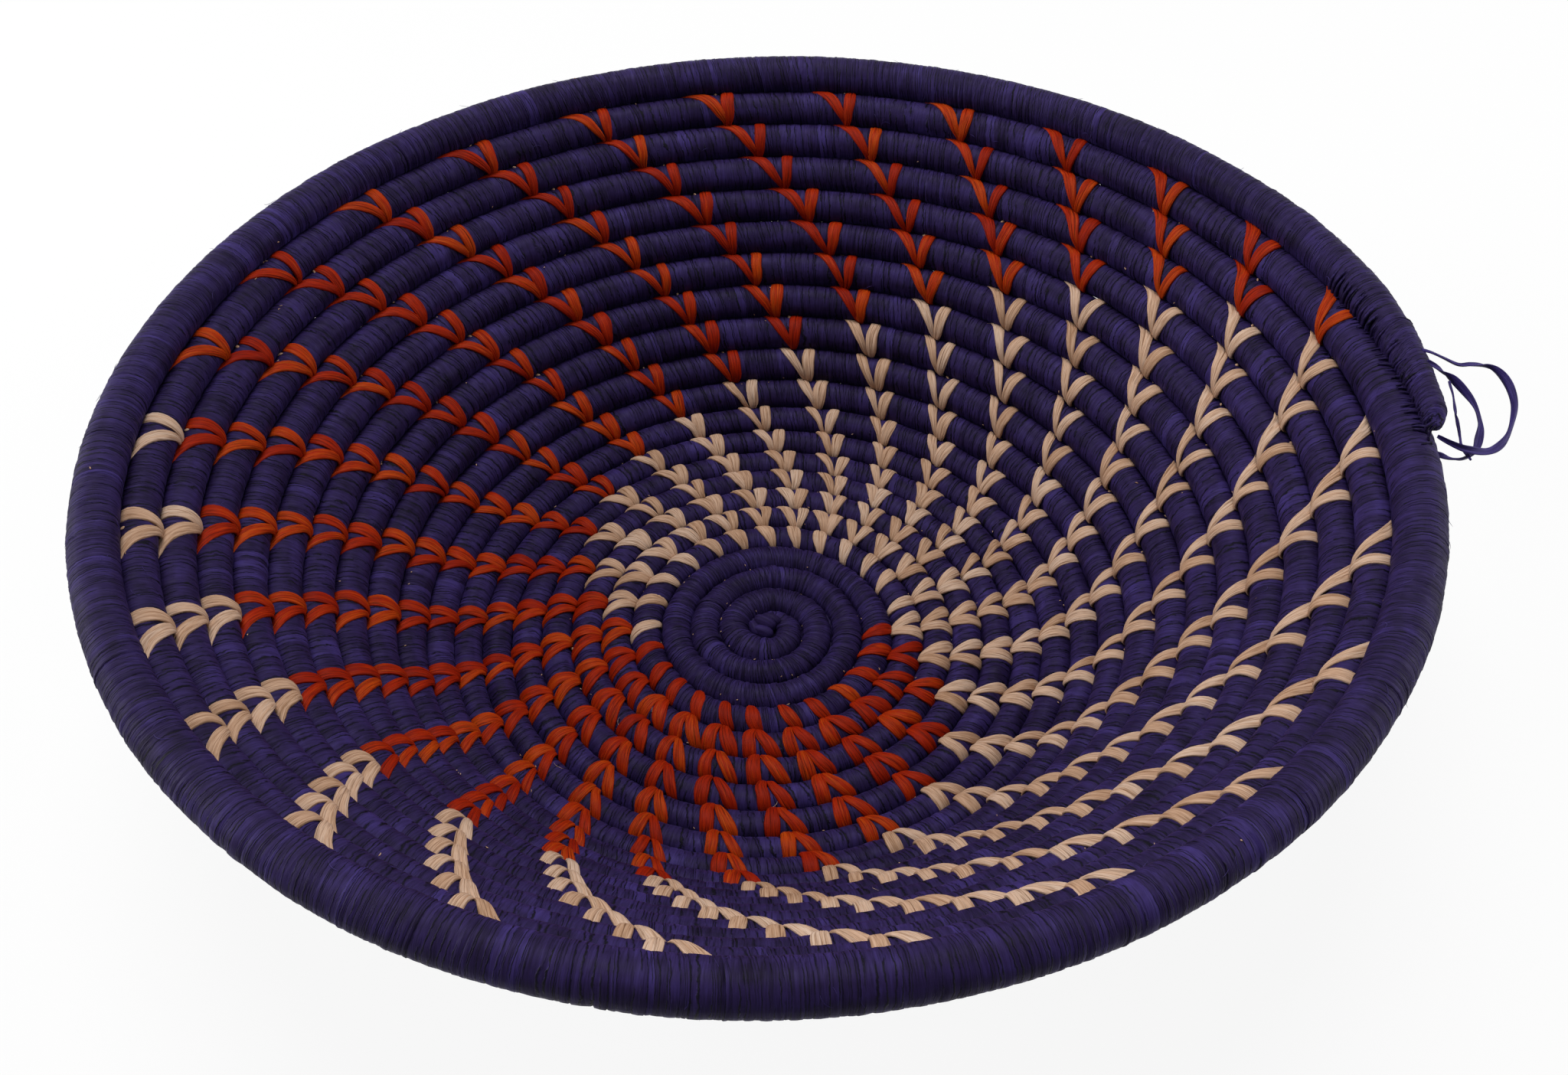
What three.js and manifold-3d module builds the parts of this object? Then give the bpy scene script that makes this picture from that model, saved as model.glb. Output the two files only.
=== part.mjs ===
// Coiled basket bowl: one long fibre coil wound up from the middle of the floor to the rim,
// sewn turn to turn with forked stitches that hook into each other and make leaning arms.
// Millimetres, +Z up. The coil's axis is the origin and the bowl rests on z = 0.

import * as THREE from 'three';
import { mergeVertices } from 'three/addons/utils/BufferGeometryUtils.js';
import Module from 'manifold-3d';

const wasm = await Module();
wasm.setup();

// Form of the bowl, measured on the coil's centreline
const floorRadius = 59.4;
const bendRadius = 41.5;
const wallAngle = THREE.MathUtils.degToRad(49);

// The coil: distance from turn to turn, and the turns over which it grows
const floorPitch = 7.65;
const wallPitch = 9.2;
const growFromTurn = 10;
const growToTurn = 13;
const firstTurn = 0.616;
const lastTurn = 21.783;
const centreShift = 0.95;
const turnGap = 0.5;
const coilSides = 6;
const stepsPerTurn = 24;
const turnZeroAngle = THREE.MathUtils.degToRad(84);
const restCut = 0.1;

// The thin start in the middle, the thicker rim turn and its tapered end
const startShare = 0.62;
const startTurns = 1.0;
const rimTurn = 20.74;
const rimBlendTurns = 0.12;
const rimGrowth = 1.1;
const endShare = 0.5;
const endTurns = 0.083;

// Forked stitches: count, lean and bend of their arms, orange ones in a run, and how the hand wandered
const stitchCount = 426;
const stitchesPerTurn = 25;
const firstStitchTurn = 3.797;
const armLean = THREE.MathUtils.degToRad(2.21);
const armBend = THREE.MathUtils.degToRad(0.035);
const orangeStitches = 12;
const wander = THREE.MathUtils.degToRad(2.48);
const wanderFrom = THREE.MathUtils.degToRad(169);
const wanderTwice = THREE.MathUtils.degToRad(2.43);
const wanderTwiceFrom = THREE.MathUtils.degToRad(108);
const wanderTwiceTurning = THREE.MathUtils.degToRad(9.9);

// One stitch: width and thickness of its legs, its waist, the slit of its fork, its clearance
const legWidth = 2.5;
const legThickness = 1.1;
const waistShare = 0.72;
const crestShift = -1.0;
const forkSlit = 0.45;
const rightLegLean = 1.5;
const rightLegReach = 0.86;
const tailSpread = 2.8;
const stitchLift = 0.35;

// Whipping that binds the coil's tapered end, in turns and millimetres
const whippingTurns = 0.033;
const bareEndTurns = 0.003;
const whippingGap = 0.3;
const whippingThickness = 0.5;

// Hanging loop: two raffia strips, the points that they follow
const stripWidth = 2.0;
const stripSides = 8;
const outerStripPoints = [
  [149.1, 8.0, 86.2],
  [151.3, 7.5, 85.7],
  [153.9, 6.5, 84.9],
  [157.3, 5.2, 83.8],
  [160.5, 5.8, 83.3],
  [164.6, 6.4, 82.4],
  [167.4, 4.4, 81.4],
  [168.7, 0.7, 80.2],
  [168.2, -4.5, 78.8],
  [165.0, -11.3, 77.6],
  [161.4, -15.4, 77.3],
  [157.6, -17.8, 77.9],
  [152.6, -18.4, 79.4],
  [149.0, -17.6, 80.7],
  [146.5, -16.2, 81.5],
];
const innerStripPoints = [
  [149.2, 4.1, 86.0],
  [151.0, 3.4, 85.0],
  [153.1, 2.4, 83.9],
  [155.3, 0.9, 82.8],
  [157.1, -1.2, 81.6],
  [158.5, -3.7, 80.4],
  [159.1, -6.7, 79.2],
  [158.8, -10.2, 78.0],
  [157.3, -13.8, 77.0],
  [155.0, -16.8, 76.6],
  [152.2, -18.7, 76.8],
  [148.8, -19.5, 77.9],
  [145.3, -19.7, 79.7],
];

const indigo = { color: 0x2a2350, roughness: 0.62, metalness: 0 };
const darkIndigo = { color: 0x1e1a3c, roughness: 0.7, metalness: 0 };
const orange = { color: 0xb23c14, roughness: 0.6, metalness: 0 };
const cream = { color: 0xd9c096, roughness: 0.6, metalness: 0 };

const group = new THREE.Group();

function addPiece(name, geometry, look) {
  const mesh = new THREE.Mesh(geometry, new THREE.MeshStandardMaterial(look));
  mesh.name = name;
  group.add(mesh);
}

function solidGeometry(points, triangles) {
  const geometry = new THREE.BufferGeometry().setFromPoints(points);
  geometry.setIndex(triangles);
  return geometry;
}

// Profile of the bowl: a flat floor, a bend and a straight wall, by arc length from the axis
function profileAt(arc) {
  const bendArc = bendRadius * wallAngle;
  if (arc < floorRadius) return { radius: arc, height: 0, slope: 0 };
  const slope = Math.min((arc - floorRadius) / bendRadius, wallAngle);
  const past = Math.max(arc - floorRadius - bendArc, 0);
  return {
    radius: floorRadius + bendRadius * Math.sin(slope) + past * Math.cos(wallAngle),
    height: bendRadius * (1 - Math.cos(slope)) + past * Math.sin(wallAngle),
    slope,
  };
}

// Arc length reached after a number of turns, with the pitch growing smoothly
function arcAt(turn) {
  const span = growToTurn - growFromTurn;
  const x = THREE.MathUtils.clamp((turn - growFromTurn) / span, 0, 1);
  const grown = span * (x ** 3 - x ** 4 / 2) + Math.max(turn - growToTurn, 0);
  return floorPitch * turn - centreShift + (wallPitch - floorPitch) * grown;
}

const slopeAt = (turn) => profileAt(arcAt(turn)).slope;
const rimShare = (turn) => THREE.MathUtils.smoothstep(turn, rimTurn, rimTurn + rimBlendTurns);

// The thick rim turn pushes itself outwards, and the coil's end once more, past the turn below it.
// As the end gets thinner it lies over towards that turn, with room left for the whipping round it.
function rimOffset(turn) {
  const thinned = (1 - endShareAt(turn)) * rimCoilRadius * flatShare;
  return rimShift * (rimShare(turn) + 2 * rimShare(turn - 1)) - Math.max(thinned - whippingRoom, 0);
}

// Corner radius that leaves turnGap between the flats of neighbouring turns, also in the bend
function plainRadius(turn) {
  const spacing = Math.min(arcAt(turn + 1) - arcAt(turn), arcAt(turn) - arcAt(turn - 1));
  const tilt = Math.max(slopeAt(turn + 1) - slopeAt(turn), slopeAt(turn) - slopeAt(turn - 1));
  return (spacing - turnGap) / (2 * Math.cos(Math.PI / coilSides - tilt / 2));
}

// Distance from the coil's middle to its flats, as a share of its corner radius
const flatShare = Math.cos(Math.PI / coilSides);
const floorCoilRadius = (floorPitch - turnGap) / (2 * flatShare);
const wallCoilRadius = (wallPitch - turnGap) / (2 * flatShare);
const rimCoilRadius = wallCoilRadius * rimGrowth;
const rimShift = (rimCoilRadius - wallCoilRadius) * flatShare;
const whippingRoom = (whippingGap + whippingThickness) * flatShare + whippingGap - turnGap;
const restHeight = floorCoilRadius * 2 * restCut;

const ringCount = Math.round((lastTurn - firstTurn) * stepsPerTurn) + 1;
const coilEnd = firstTurn + (ringCount - 1) / stepsPerTurn;

// How much thinner the coil is at its start, and at its end
function startShareAt(turn) {
  const grown = THREE.MathUtils.smoothstep(turn, firstTurn, firstTurn + startTurns);
  return THREE.MathUtils.lerp(startShare, 1, grown);
}

function endShareAt(turn) {
  const tapered = THREE.MathUtils.clamp((turn - coilEnd + endTurns) / endTurns, 0, 1);
  return THREE.MathUtils.lerp(1, endShare, tapered);
}

// One ring of the coil: its middle, the directions across the turns and towards the inside, its radius
function ringAt(index) {
  const turn = firstTurn + index / stepsPerTurn;
  const { radius, height, slope } = profileAt(arcAt(turn) + rimOffset(turn));
  const start = startShareAt(turn);
  const rim = THREE.MathUtils.lerp(1, rimGrowth, rimShare(turn));
  const axis = new THREE.Vector3(0, 0, 1);
  const outward = new THREE.Vector3(1, 0, 0).applyAxisAngle(axis, -(2 * Math.PI * turn + turnZeroAngle));
  const tangent = new THREE.Vector3().crossVectors(axis, outward);
  const middle = outward.clone().multiplyScalar(radius);
  middle.z = height + floorCoilRadius * start - restHeight;
  return {
    middle,
    across: outward.clone().applyAxisAngle(tangent, -slope),
    inside: axis.clone().applyAxisAngle(tangent, -slope),
    radius: plainRadius(turn) * start * endShareAt(turn) * rim,
  };
}

const rings = Array.from({ length: ringCount }, (_, index) => ringAt(index));

// A point of one ring: sideways across the turns and height towards the inside
const ringPoint = (ring, sideways, height) =>
  ring.middle.clone().addScaledVector(ring.across, sideways).addScaledVector(ring.inside, height);

function ringCorners(ring, radius) {
  return Array.from({ length: coilSides }, (_, side) => {
    const angle = (side * 2 * Math.PI) / coilSides;
    return ringPoint(ring, radius * Math.sin(angle), radius * Math.cos(angle));
  });
}

// A closed tube through rings of corners, with a fan at each end
function tubeGeometry(sections) {
  const sides = sections[0].length;
  const triangles = [];
  for (let i = 0; i < sections.length - 1; i++) {
    for (let j = 0; j < sides; j++) {
      const a = i * sides + j;
      const b = i * sides + ((j + 1) % sides);
      triangles.push(a, a + sides, b, b, a + sides, b + sides);
    }
  }
  const last = (sections.length - 1) * sides;
  for (let j = 1; j < sides - 1; j++) {
    triangles.push(0, j, j + 1, last, last + j + 1, last + j);
  }
  return solidGeometry(sections.flat(), triangles);
}

function toManifold(geometry) {
  return new wasm.Manifold(new wasm.Mesh({
    numProp: 3,
    vertProperties: new Float32Array(geometry.attributes.position.array),
    triVerts: new Uint32Array(geometry.index.array),
  }));
}

function fromManifold(solid) {
  const mesh = solid.getMesh();
  const geometry = new THREE.BufferGeometry();
  geometry.setAttribute('position', new THREE.BufferAttribute(mesh.vertProperties, 3));
  geometry.setIndex(new THREE.BufferAttribute(mesh.triVerts, 1));
  return geometry;
}

// The coil in one unbroken tube, cut flat where it rests on a table as wide as the bowl's whole arc
const coilSections = rings.map((ring) => ringCorners(ring, ring.radius));
const tableWidth = 2 * arcAt(lastTurn + 1);
const table = new THREE.BoxGeometry(tableWidth, tableWidth, wallPitch).translate(0, 0, -wallPitch / 2);
table.deleteAttribute('normal');
table.deleteAttribute('uv');
const uncutCoil = toManifold(tubeGeometry(coilSections));
addPiece('coil', fromManifold(uncutCoil.subtract(toManifold(mergeVertices(table)))), indigo);

// Least gap between a turn and the next, measured on the corners of rings one turn apart
function leastTurnGap() {
  const closest = new THREE.Vector3();
  const edge = new THREE.Line3();
  let least = Infinity;
  for (let i = 0; i + stepsPerTurn < coilSections.length; i++) {
    const pair = [coilSections[i], coilSections[i + stepsPerTurn]];
    for (const [from, to] of [pair, [pair[1], pair[0]]]) {
      for (const corner of from) {
        to.forEach((start, j) => {
          edge.set(start, to[(j + 1) % coilSides]);
          edge.closestPointToPoint(corner, true, closest);
          least = Math.min(least, closest.distanceTo(corner));
        });
      }
    }
  }
  return least;
}

console.log(`least gap between the coil's turns: ${leastTurnGap().toFixed(2)} mm`);

// A point on the faceted coil, between two rings, moved along the coil by a length
function onCoil(turn, alongCoil, sideShare, heightShare, lift) {
  const nearest = ringAt(Math.round((turn - firstTurn) * stepsPerTurn));
  const radiusHere = Math.hypot(nearest.middle.x, nearest.middle.y);
  const index = (turn + alongCoil / (2 * Math.PI * radiusHere) - firstTurn) * stepsPerTurn;
  const before = Math.min(Math.floor(index), rings.length - 2);
  const points = [rings[before], rings[before + 1]].map((ring) => {
    const halfPitch = ring.radius * flatShare + turnGap / 2;
    return ringPoint(ring, sideShare * halfPitch, heightShare * ring.radius + lift);
  });
  return points[0].lerp(points[1], index - before);
}

// The corners of a stitch's leg: two on the coil and a ridge above them
const legCorners = 3;

function legSection(turn, alongCoil, sideShare, heightShare, width) {
  return [
    onCoil(turn, alongCoil - width / 2, sideShare, heightShare, stitchLift),
    onCoil(turn, alongCoil + width / 2, sideShare, heightShare, stitchLift),
    onCoil(turn, alongCoil, sideShare, heightShare, stitchLift + legThickness),
  ];
}

const shoulderHeight = Math.cos((2 * Math.PI) / coilSides);

// Where a stitch's waist crosses the groove below its turn of the coil
function stitchTurn(number) {
  const level = number / stitchesPerTurn;
  const armAngle = (2 * Math.PI * (number - 1)) / stitchesPerTurn;
  const drift = wander * Math.cos(armAngle - wanderFrom);
  const secondDrift = wanderTwice * Math.cos(2 * armAngle - wanderTwiceFrom - wanderTwiceTurning * level);
  const lean = armLean * level + armBend * level ** 2;
  return firstStitchTurn + level + (drift + secondDrift - lean) / (2 * Math.PI);
}

// The colours repeat after one stitch more than a turn holds, so each turn they move on by one arm
const colourPeriod = stitchesPerTurn + 1;
const isOrange = (number) => number % colourPeriod < orangeStitches;

// One run of an arm: each stitch rises from its waist over the coil to the waist of the next,
// and from the second round of stitches on it has a right leg, which makes the fork
function armGeometry(numbers) {
  const points = [];
  const triangles = [];
  const waist = legWidth * waistShare;
  const addSection = (section) => points.push(...section) - section.length;
  const joinSections = (a, b) => {
    for (let j = 0; j < legCorners; j++) {
      const k = (j + 1) % legCorners;
      triangles.push(a + j, b + j, a + k, a + k, b + j, b + k);
    }
  };
  let low = addSection(legSection(stitchTurn(numbers[0]), 0, -1, shoulderHeight, waist));
  triangles.push(low, low + 1, low + 2);
  numbers.forEach((number, place) => {
    const turn = stitchTurn(number);
    const next = stitchTurn(number + stitchesPerTurn);
    const isLast = place === numbers.length - 1;
    const radiusHere = profileAt(arcAt(turn)).radius;
    const reach = (next - 1 - turn) * 2 * Math.PI * radiusHere;
    const crestPlace = reach / 2 + crestShift;
    const crest = addSection(legSection(turn, crestPlace, 0, 1, legWidth));
    const tail = isLast ? -tailSpread : 0;
    const high = addSection(legSection(next, tail, -1, shoulderHeight, waist));
    if (number < stitchesPerTurn) {
      joinSections(low, crest);
    } else {
      const rightCrest = addSection(legSection(turn, crestPlace + legWidth + forkSlit, 0, 1, legWidth));
      const rightTop = addSection(legSection(turn, rightLegLean, rightLegReach, shoulderHeight, waist));
      triangles.push(low, crest, low + 1, low + 1, crest, crest + 1);
      triangles.push(low + 2, crest + 2, low, low, crest + 2, crest);
      triangles.push(low + 1, crest + 1, rightCrest, low + 1, rightCrest, rightCrest + 1);
      triangles.push(low + 1, rightCrest + 1, rightCrest + 2, low + 1, rightCrest + 2, low + 2);
      triangles.push(low + 2, rightCrest + 2, crest + 2);
      triangles.push(rightCrest, crest + 1, crest + 2, rightCrest, crest + 2, rightCrest + 2);
      joinSections(rightCrest, rightTop);
      triangles.push(rightTop, rightTop + 2, rightTop + 1);
    }
    joinSections(crest, high);
    low = high;
  });
  triangles.push(low, low + 2, low + 1);
  return solidGeometry(points, triangles);
}

// Every arm is split where its colour changes, and each run of one colour is a piece
for (let arm = 0; arm < stitchesPerTurn; arm++) {
  const runs = [];
  for (let number = arm; number < stitchCount; number += stitchesPerTurn) {
    const run = runs.at(-1);
    if (run && isOrange(run[0]) === isOrange(number)) run.push(number);
    else runs.push([number]);
  }
  runs.forEach((run, place) => {
    const armNumber = String(arm + 1).padStart(2, '0');
    const letter = 'abcdef'[place];
    const [colour, look] = isOrange(run[0]) ? ['orange', orange] : ['cream', cream];
    addPiece(`arm_${armNumber}_${letter}_${colour}`, armGeometry(run), look);
  });
}

// Corners round the coil at any turn, raised above its faces
function cornersAround(turn, raise) {
  const index = (turn - firstTurn) * stepsPerTurn;
  const before = Math.floor(index);
  const pair = [rings[before], rings[before + 1]];
  const [here, next] = pair.map((ring) => ringCorners(ring, ring.radius + raise));
  return here.map((corner, j) => corner.lerp(next[j], index - before));
}

// Whipping: a sleeve that follows the tapered end of the coil
function whippingGeometry() {
  const whippingEnd = coilEnd - bareEndTurns;
  const whippingStart = whippingEnd - whippingTurns;
  const outside = whippingGap + whippingThickness;
  const loops = [
    cornersAround(whippingStart, whippingGap),
    cornersAround(whippingStart, outside),
    cornersAround(whippingEnd, outside),
    cornersAround(whippingEnd, whippingGap),
  ];
  const triangles = [];
  loops.forEach((loop, i) => {
    const nextLoop = ((i + 1) % loops.length) * coilSides;
    for (let j = 0; j < coilSides; j++) {
      const k = (j + 1) % coilSides;
      const a = i * coilSides + j;
      const b = i * coilSides + k;
      triangles.push(a, nextLoop + j, b, b, nextLoop + j, nextLoop + k);
    }
  });
  return solidGeometry(loops.flat(), triangles);
}

addPiece('end_whipping', whippingGeometry(), darkIndigo);

// A strip of the hanging loop: a plain tube along a smooth curve through its points
function stripGeometry(points) {
  const vectors = points.map((point) => new THREE.Vector3(...point));
  const curve = new THREE.CatmullRomCurve3(vectors, false, 'centripetal');
  const section = new THREE.Shape();
  section.absarc(0, 0, stripWidth / 2, 0, 2 * Math.PI, false);
  const steps = Math.ceil(curve.getLength() / (2 * stripWidth));
  return new THREE.ExtrudeGeometry(section, { steps, curveSegments: stripSides, extrudePath: curve });
}

addPiece('hanging_strip_outer', stripGeometry(outerStripPoints), indigo);
addPiece('hanging_strip_inner', stripGeometry(innerStripPoints), indigo);

export default group;
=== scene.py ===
import math

import bpy
import numpy as np
from mathutils import Matrix, Vector


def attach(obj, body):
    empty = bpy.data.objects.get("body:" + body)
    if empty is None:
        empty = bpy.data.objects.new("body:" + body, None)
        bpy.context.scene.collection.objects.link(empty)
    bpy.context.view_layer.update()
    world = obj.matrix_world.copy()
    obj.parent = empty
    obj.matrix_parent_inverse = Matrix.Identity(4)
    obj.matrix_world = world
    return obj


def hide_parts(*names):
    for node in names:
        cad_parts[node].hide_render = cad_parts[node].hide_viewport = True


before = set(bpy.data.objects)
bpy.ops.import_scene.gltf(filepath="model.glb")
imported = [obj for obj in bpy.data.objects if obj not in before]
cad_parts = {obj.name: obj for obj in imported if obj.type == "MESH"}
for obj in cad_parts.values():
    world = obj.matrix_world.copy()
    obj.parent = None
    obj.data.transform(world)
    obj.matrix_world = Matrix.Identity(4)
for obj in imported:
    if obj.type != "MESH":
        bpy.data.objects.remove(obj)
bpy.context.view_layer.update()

# All sizes below are in millimetres unless a name says otherwise; meshes are made in metres.
MM = 0.001
TAU = 2 * math.pi

# Seeds of the random numbers; a stitch adds its own number
COIL_SEED, WHIPPING_SEED, SEWING_SEED, HAIR_SEED, SPECK_SEED, STITCH_SEED = 21, 22, 23, 31, 32, 1000

# Camera, fitted to the photograph
CAMERA_PLACE = Vector((0.0, -274.3, 310.5))
CAMERA_TARGET = Vector((4.7, 36.15, 2.36))
CAMERA_ROLL = math.radians(-0.54)
CAMERA_LENS = 36.49
SENSOR_WIDTH = 36.0
CAMERA_CLIP = (0.01, 20)

# Form of the bowl, measured on the coil's centreline
FLOOR_RADIUS = 59.4
BEND_RADIUS = 41.5
WALL_ANGLE = math.radians(49)

# The coil's line: it grows thicker between two turns, and its height is that of its middle over the floor
FLOOR_PITCH = 7.65
WALL_PITCH = 9.2
GROW_FIRST, GROW_LAST = 10, 13
FIRST_TURN = 0.34
LAST_TURN = 21.783
CENTRE_SHIFT = 0.95
TURN_ZERO_ANGLE = math.radians(84)
REST_HEIGHT = 3.302
TURN_GAP = 0.5

# The coil's thin start and crooked first turns, its fuller rim turn, and its thin end, tucked in
START_SHARE, START_TURNS = 0.8, 0.7
CENTRE_WOBBLE, WOBBLE_RATE, WOBBLE_SWAY = 0.28, 9.7, 5.3
WOBBLE_FADES, WOBBLE_ENDS = 3.2, 4.2
RIM_TURN, RIM_BLEND, RIM_GROWTH = 20.74, 0.12, 1.1
END_SHARE, END_TURNS, END_TUCK = 0.5, 0.06, 0.4
SWELL_TURN, SWELL_TURNS, SWELL = 20.775, 0.06, 0.9
COIL_SQUEEZE = 1.015
COIL_SIDES = 20
COIL_LENGTHS = 4

# Wrapped strands of the coil: mean width in the middle, on the floor and wall, and on the rim
CENTRE_STRAND, WALL_STRAND, RIM_STRAND = 1.3, 2.9, 1.7
CENTRE_TURNS, WIDER_FIRST, WIDER_LAST = 4.4, 4, 5
RIM_NARROWING = 0.05
STRAND_LEAN = 1.0
CRACK_DEPTH = 0.32
COIL_TIP = 3.0

# The whipping round the coil's end, and the strands sewn over the crevice beside it
WHIPPING_FIRST, WHIPPING_LAST = LAST_TURN - 0.036, LAST_TURN - 0.003
WHIPPING_STRAND, WHIPPING_CRACK, WHIPPING_LEAN, WHIPPING_RISE, WHIPPING_TIP = 1.1, 0.6, 2.0, 0.45, 1.2
SEWN_TURNS, SEWN_PAST_END, SEWN_STRANDS = 0.06, -0.002, 44
SEWN_PLACE_SPREAD, SEWN_SLANT = 0.0006, 0.0012
SEWN_RISES, SEWN_RADII = (0.15, 0.6), (0.28, 0.6)
SEWN_SAMPLES, SEWN_SIDES = 16, 8
# Their angles in degrees: over the coil's end, from its inside down, and then back round the turn below
SEWN_OVER_FROM, SEWN_OVER, OVER_SAMPLES = (-5, 25), 100, 6
SEWN_UNDER_FROM, SEWN_UNDER, UNDER_SAMPLES, UNDER_RISE = 82, (22, 50), 4, 0.8

# Forked stitches
STITCH_COUNT = 428
STITCHES_PER_TURN = 25
FIRST_STITCH = 3.797
ARM_LEAN, ARM_BEND = math.radians(2.21), math.radians(0.035)
ORANGE_STITCHES = 12
WANDER, WANDER_FROM = math.radians(2.48), math.radians(169)
WANDER_TWICE, WANDER_TWICE_FROM = math.radians(2.43), math.radians(108)
WANDER_TWICE_TURNING = math.radians(9.9)

# Their random sizes; and of their legs the thickness, number of fibres, samples along, crookedness,
# grain of the colour, roundness of the top, depth in the coil, and arc round the coil for a radian
STITCH_SIZES = (0.88, 1.12)
LEG_THICKNESS = 0.62
LEG_FIBRES, LEAF_FIBRES, BAND_FIBRES = 8, 9, 5
LEG_STATIONS = 17
LEG_CROOK, LEAF_CROOK = 0.16, 0.22
LEG_GRAIN = 1.6
LEG_CROWN = 3.2
LEG_SINK = 0.25
ROUND_ARC = 4.2

# The two legs of a stitch, low on the bowl, in its middle and high on its wall: where each passes along
# the coil (from the stitch) and how wide it is, at angles (degrees) from the inner groove to the outer
STITCH_LEVELS = (5.5, 11.4, 18)
LEFT_ANGLES = (-88, -66, -40, -15, 15, 50, 74, 88)
LEFT_PLACES = ((0.0, -0.5, -1.3, -2.2, -3.5, -4.9, -5.6, -6.0),
               (0.2, -0.8, -1.8, -2.8, -4.4, -6.0, -6.8, -7.6),
               (0.0, -0.6, -1.6, -3.0, -4.9, -7.6, -10.8, -14.8))
LEFT_WIDTHS = ((0.9, 1.8, 2.6, 3.1, 3.3, 3.2, 2.6, 1.7),
               (0.5, 0.9, 1.4, 1.8, 2.3, 2.7, 2.4, 1.4),
               (0.7, 1.4, 2.3, 2.9, 3.1, 3.0, 2.0, 0.4))
LEFT_LIFTS = (-0.5, 0.3, 0.3, 0.15, 0.05, 0.0, -0.1, -0.3)
RIGHT_ANGLES = (-88, -66, -40, -15, 15, 50, 74, 98)
RIGHT_PLACES = ((0.4, 0.5, 0.8, 1.0, 0.9, 0.5, 0.2, 0.0),
                (0.2, 0.1, 0.0, -0.1, -0.1, 0.0, 0.0, -0.1),
                (0.0, 0.1, 0.2, 0.2, 0.2, 0.1, 0.0, 0.0))
RIGHT_WIDTHS = ((0.9, 1.8, 2.6, 3.1, 3.3, 3.2, 2.9, 2.4),
                (0.7, 1.6, 3.0, 3.5, 3.7, 3.3, 2.9, 2.5),
                (0.8, 1.5, 2.6, 3.1, 3.4, 3.5, 3.3, 2.8))
RIGHT_LIFTS = (-0.4, 0.45, 0.35, 0.15, 0.05, 0.0, -0.1, -0.3)

# The single leaf of each stitch in the first row
LEAF_ANGLES = (-96, -75, -45, -10, 25, 60, 88)
LEAF_PLACES = (1.0, 0.8, 0.3, -0.6, -1.6, -2.7, -3.6)
LEAF_WIDTHS = (0.7, 1.8, 3.0, 3.7, 3.6, 2.7, 1.6)
LEAF_LIFTS = (-0.4, 0.1, 0.1, 0.1, 0.05, 0.0, -0.4)

# The band on the outside that leads to the next stitch: share of the way to it, further along, angle, lift
BAND_ROUTE = ((0, -0.2, -104, -0.3), (0, -0.4, -130, 0.0), (0.35, 0, -165, 0.1), (0.65, 0, -200, 0.1),
              (1, -0.5, -235, 0.0), (1, -0.8, -258, -0.3))
BAND_WIDTHS = (1.4, 2.5, 3.1, 3.1, 2.5, 1.4)

# Hanging loop: the points of the two strips, as in the CAD model, and of a thin strand on them
STRIP_WIDTH = 2.0
STRIP_THICKNESS = 0.5
THIN_WIDTH = 1.0
THIN_THICKNESS = 0.35
THIN_TWIST, OUTER_TWIST, INNER_TWIST = 1.2, 1.6, 2.2
THIN_SEED, OUTER_SEED, INNER_SEED = 8, 3, 5
STRIP_SAMPLES = 90
STRIP_SIDES = 12
OUTER_STRIP = [
    (149.1, 8.0, 86.2), (151.3, 7.5, 85.7), (153.9, 6.5, 84.9), (157.3, 5.2, 83.8), (160.5, 5.8, 83.3),
    (164.6, 6.4, 82.4), (167.4, 4.4, 81.4), (168.7, 0.7, 80.2), (168.2, -4.5, 78.8), (165.0, -11.3, 77.6),
    (161.4, -15.4, 77.3), (157.6, -17.8, 77.9), (152.6, -18.4, 79.4), (149.0, -17.6, 80.7),
    (146.5, -16.2, 81.5),
]
INNER_STRIP = [
    (149.2, 4.1, 86.0), (151.0, 3.4, 85.0), (153.1, 2.4, 83.9), (155.3, 0.9, 82.8), (157.1, -1.2, 81.6),
    (158.5, -3.7, 80.4), (159.1, -6.7, 79.2), (158.8, -10.2, 78.0), (157.3, -13.8, 77.0),
    (155.0, -16.8, 76.6), (152.2, -18.7, 76.8), (148.8, -19.5, 77.9), (145.3, -19.7, 79.7),
]
THIN_STRAND = [
    (153.5, -0.3, 83.6), (153.6, -4.0, 82.2), (153.3, -7.9, 80.6), (153.2, -10.6, 79.6),
    (153.1, -13.4, 78.7), (152.8, -16.1, 78.2), (153.6, -20.0, 77.6),
]

# Loose fibres: hairs lying on the wraps, most of them near the rim, tufts in the grooves, and core specks
HAIR_COUNT, RIM_HAIR_SHARE, INDIGO_HAIR_SHARE = 360, 0.55, 0.9
HAIR_LENGTHS, HAIR_RADII = (1.2, 4), (0.03, 0.06)
TUFT_COUNT, TUFT_LENGTHS, TUFT_RADII = 240, (0.35, 0.9), (0.08, 0.17)
SPECK_SHARE, SPECK_LENGTHS, SPECK_RADII = 0.4, (0.9, 1.9), (0.25, 0.5)

# Floor and world: the floor's colour for light that bounces off it and as it is seen, its own glow as it
# is seen, and the strength of the world's light
FLOOR_BOUNCE, FLOOR_SEEN, FLOOR_GLOW = 0.07, 0.85, 0.9
FLOOR_HALF, FLOOR_THICKNESS, FLOOR_DROP = 4000, 20, 0.05
FLOOR_ROUGHNESS, FLOOR_SPECULAR = 0.9, 0.1
WORLD_LIGHT = 0.11

# Lights: name, place and target in metres, width in metres, and watts
LIGHTS = (("key light", (-0.1, 0.3, 1.5), (0, 0, 0), 0.9, 15.5),
          ("left light", (-1.1, 0.1, 0.5), (0, 0, 0.05), 0.8, 9.5),
          ("right light", (1.1, 0.1, 0.5), (0, 0, 0.05), 0.8, 6))


# Small helpers

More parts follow.
